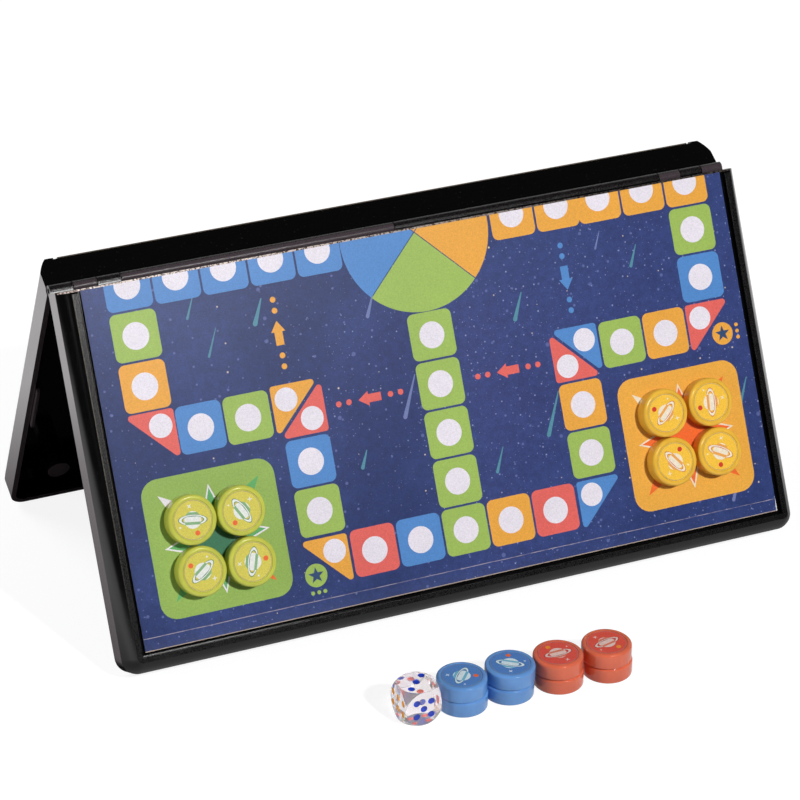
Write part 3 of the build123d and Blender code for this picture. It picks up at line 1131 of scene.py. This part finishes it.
studio = {                  # in metres
    "half": 4.0,
    "under": 0.00005,       # the floor lies this much lower than what stands on it
    "halfFoot": (0.1225, 0.0575),   # half the ground that the open box covers, which gets painted shade in its gloss
    "nearShine": (0.20, 0.09),      # the ground's brightness in gloss next to the box, where its painted shade lifts, and over what distance
    "nearDim": (0.04, 0.003),       # the same for the narrow painted shadow line at its foot
    "reach": (0.20, 0.42),  # where the lit ground ends in its gloss
    "glow": 0.87,
    "ambient": 0.06,
}


def floorPaint():
    paint = Paint("studio_floor")
    seen = paint.ray("Is Camera Ray").calc("MAXIMUM", paint.ray("Is Glossy Ray"))
    seen = seen.calc("MAXIMUM", paint.ray("Is Transmission Ray"))
    plain = paint.node("ShaderNodeBsdfDiffuse", None, {"Color": (0.38, 0.38, 0.38)})
    shaded = paint.node("ShaderNodeBsdfDiffuse", None, {"Color": (0.22, 0.22, 0.225)})
    glow = paint.node("ShaderNodeEmission", None, {"Color": (1, 1, 1), "Strength": studio["glow"]})
    lit = paint.node("ShaderNodeAddShader", None, [shaded, glow])
    # painted shade in gloss: the ground is dark under the box and dim close to it, and it ends at the edge of
    # the lit table
    mirrored = paint.ray("Is Glossy Ray") * (1 - paint.ray("Is Transmission Ray"))
    at = paint.own()
    aside = (paint.part(at, 0) - hinge.x).calc("ABSOLUTE") - studio["halfFoot"][0]
    behind = (paint.part(at, 1) - hinge.y).calc("ABSOLUTE") - studio["halfFoot"][1]
    aside, behind = aside.calc("MAXIMUM", 0.0), behind.calc("MAXIMUM", 0.0)
    away = (aside * aside + behind * behind).calc("SQRT")
    share, distance = studio["nearShine"]
    shine = paint.spread(away, share, 1.0, 0.0, distance) * (1 - paint.soft(away, *studio["reach"]))
    share, distance = studio["nearDim"]
    dim = (1 - shine * paint.spread(away, share, 1.0, 0.0, distance)) * mirrored
    dark = paint.node("ShaderNodeBsdfDiffuse", None, {"Color": (0.01, 0.01, 0.01)})
    lit = paint.node("ShaderNodeMixShader", None, [dim, lit, dark])
    paint.show(paint.node("ShaderNodeMixShader", None, [seen, plain, lit]))
    return paint.owner


def studioFloor():
    half = studio["half"]
    mesh = bpy.data.meshes.new("studioFloor")
    corners = [(-half, -half, 0), (half, -half, 0), (half, half, 0), (-half, half, 0)]
    mesh.from_pydata(corners, [], [(0, 1, 2, 3)])
    mesh.materials.append(floorPaint())
    floor = bpy.data.objects.new("studioFloor", mesh)
    floor.location.z = -studio["under"]
    bpy.context.scene.collection.objects.link(floor)


def studioWorld():
    world = bpy.data.worlds.new("studioWorld")
    bpy.context.scene.world = world
    paint = Paint("studioWorld", world)
    toward = paint.node("ShaderNodeTexCoord", out="Generated")
    y, z = paint.part(toward, 1), paint.part(toward, 2)
    # a pale wall behind, and a dark room in front
    backdrop = paint.soft(y, 0.20, 0.55) * (1 - paint.soft(z, 0.50, 0.80))
    gleam = (1 - paint.soft(z, -0.03, 0.0)).calc("MAXIMUM", backdrop) * 0.9 + 0.010
    ambient, white, mirror = [
        paint.node("ShaderNodeBackground", None, {"Color": colour, "Strength": strength})
        for colour, strength in (((1, 1, 1), studio["ambient"]), ((1, 1, 1), 1.0), (gleam, 1.0))]
    sky = paint.node("ShaderNodeMixShader", None, [paint.ray("Is Glossy Ray"), ambient, mirror])
    seen = paint.ray("Is Camera Ray").calc("MAXIMUM", paint.ray("Is Transmission Ray"))
    paint.show(paint.node("ShaderNodeMixShader", None, [seen, sky, white]), "ShaderNodeOutputWorld")


lights = {                  # in metres and watts. Each looks at the open box from its own side
    "key": {
        "toward": (0.239, -0.768, 0.594),
        "distance": 2.2,
        "size": 0.10,
        "watts": 39.5,
        "gloss": False,
    },
    "sheen": {              # seen only in gloss
        "toward": (0.16, -0.80, 0.57),
        "distance": 0.9,
        "size": 0.12,
        "watts": 1.6,
        "matt": False,
    },
    "fill": {
        "toward": (-0.97, -0.10, 0.20),
        "distance": 1.2,
        "size": 0.5,
        "watts": 5.0,
        "gloss": False,
    },
    "back": {
        "toward": (-0.50, 0.75, 0.43),
        "distance": 1.5,
        "size": 0.8,
        "watts": 14.0,
    },
}


def studioLights():
    for name, light in lights.items():
        glow = bpy.data.lights.new(name + "Light", "AREA")
        glow.size = light["size"]
        glow.energy = light["watts"]
        toward = Vector(light["toward"]).normalized()
        lamp = bpy.data.objects.new(name + "Light", glow)
        lamp.visible_glossy = light.get("gloss", True)
        lamp.visible_diffuse = light.get("matt", True)
        lamp.location = hinge / 2 + toward * light["distance"]
        lamp.rotation_mode = "QUATERNION"
        lamp.rotation_quaternion = toward.to_track_quat("Z", "Y")
        bpy.context.scene.collection.objects.link(lamp)


camera = {
    "fromHinge": (-0.40635, -0.9367, 0.50897),   # metres from the hinge line's middle
    "right": (0.9234, -0.3837, 0.0013),
    "down": (-0.1803, -0.4368, -0.8813),
    "focus": 3401.3,                            # in pixels of the 800 pixel frame
    "middle": (351.07, 327.91),                 # where the optical axis meets the frame
    "frame": 800,
}


def studioCamera():
    lens = bpy.data.cameras.new("camera")
    lens.sensor_width = 36
    lens.lens = camera["focus"] / camera["frame"] * lens.sensor_width
    lens.shift_x = 0.5 - camera["middle"][0] / camera["frame"]
    lens.shift_y = camera["middle"][1] / camera["frame"] - 0.5
    lens.clip_start, lens.clip_end = 0.05, 50
    right = Vector(camera["right"]).normalized()
    up = -Vector(camera["down"])
    up = (up - right * up.dot(right)).normalized()
    turn = Matrix((right, up, right.cross(up))).transposed().to_4x4()
    shot = bpy.data.objects.new("camera", lens)
    shot.matrix_world = Matrix.Translation(hinge + Vector(camera["fromHinge"])) @ turn
    bpy.context.scene.collection.objects.link(shot)
    bpy.context.scene.camera = shot


studioFloor()
studioWorld()
studioLights()
studioCamera()
bpy.context.scene.view_settings.view_transform = "Standard"
print("studio set up")
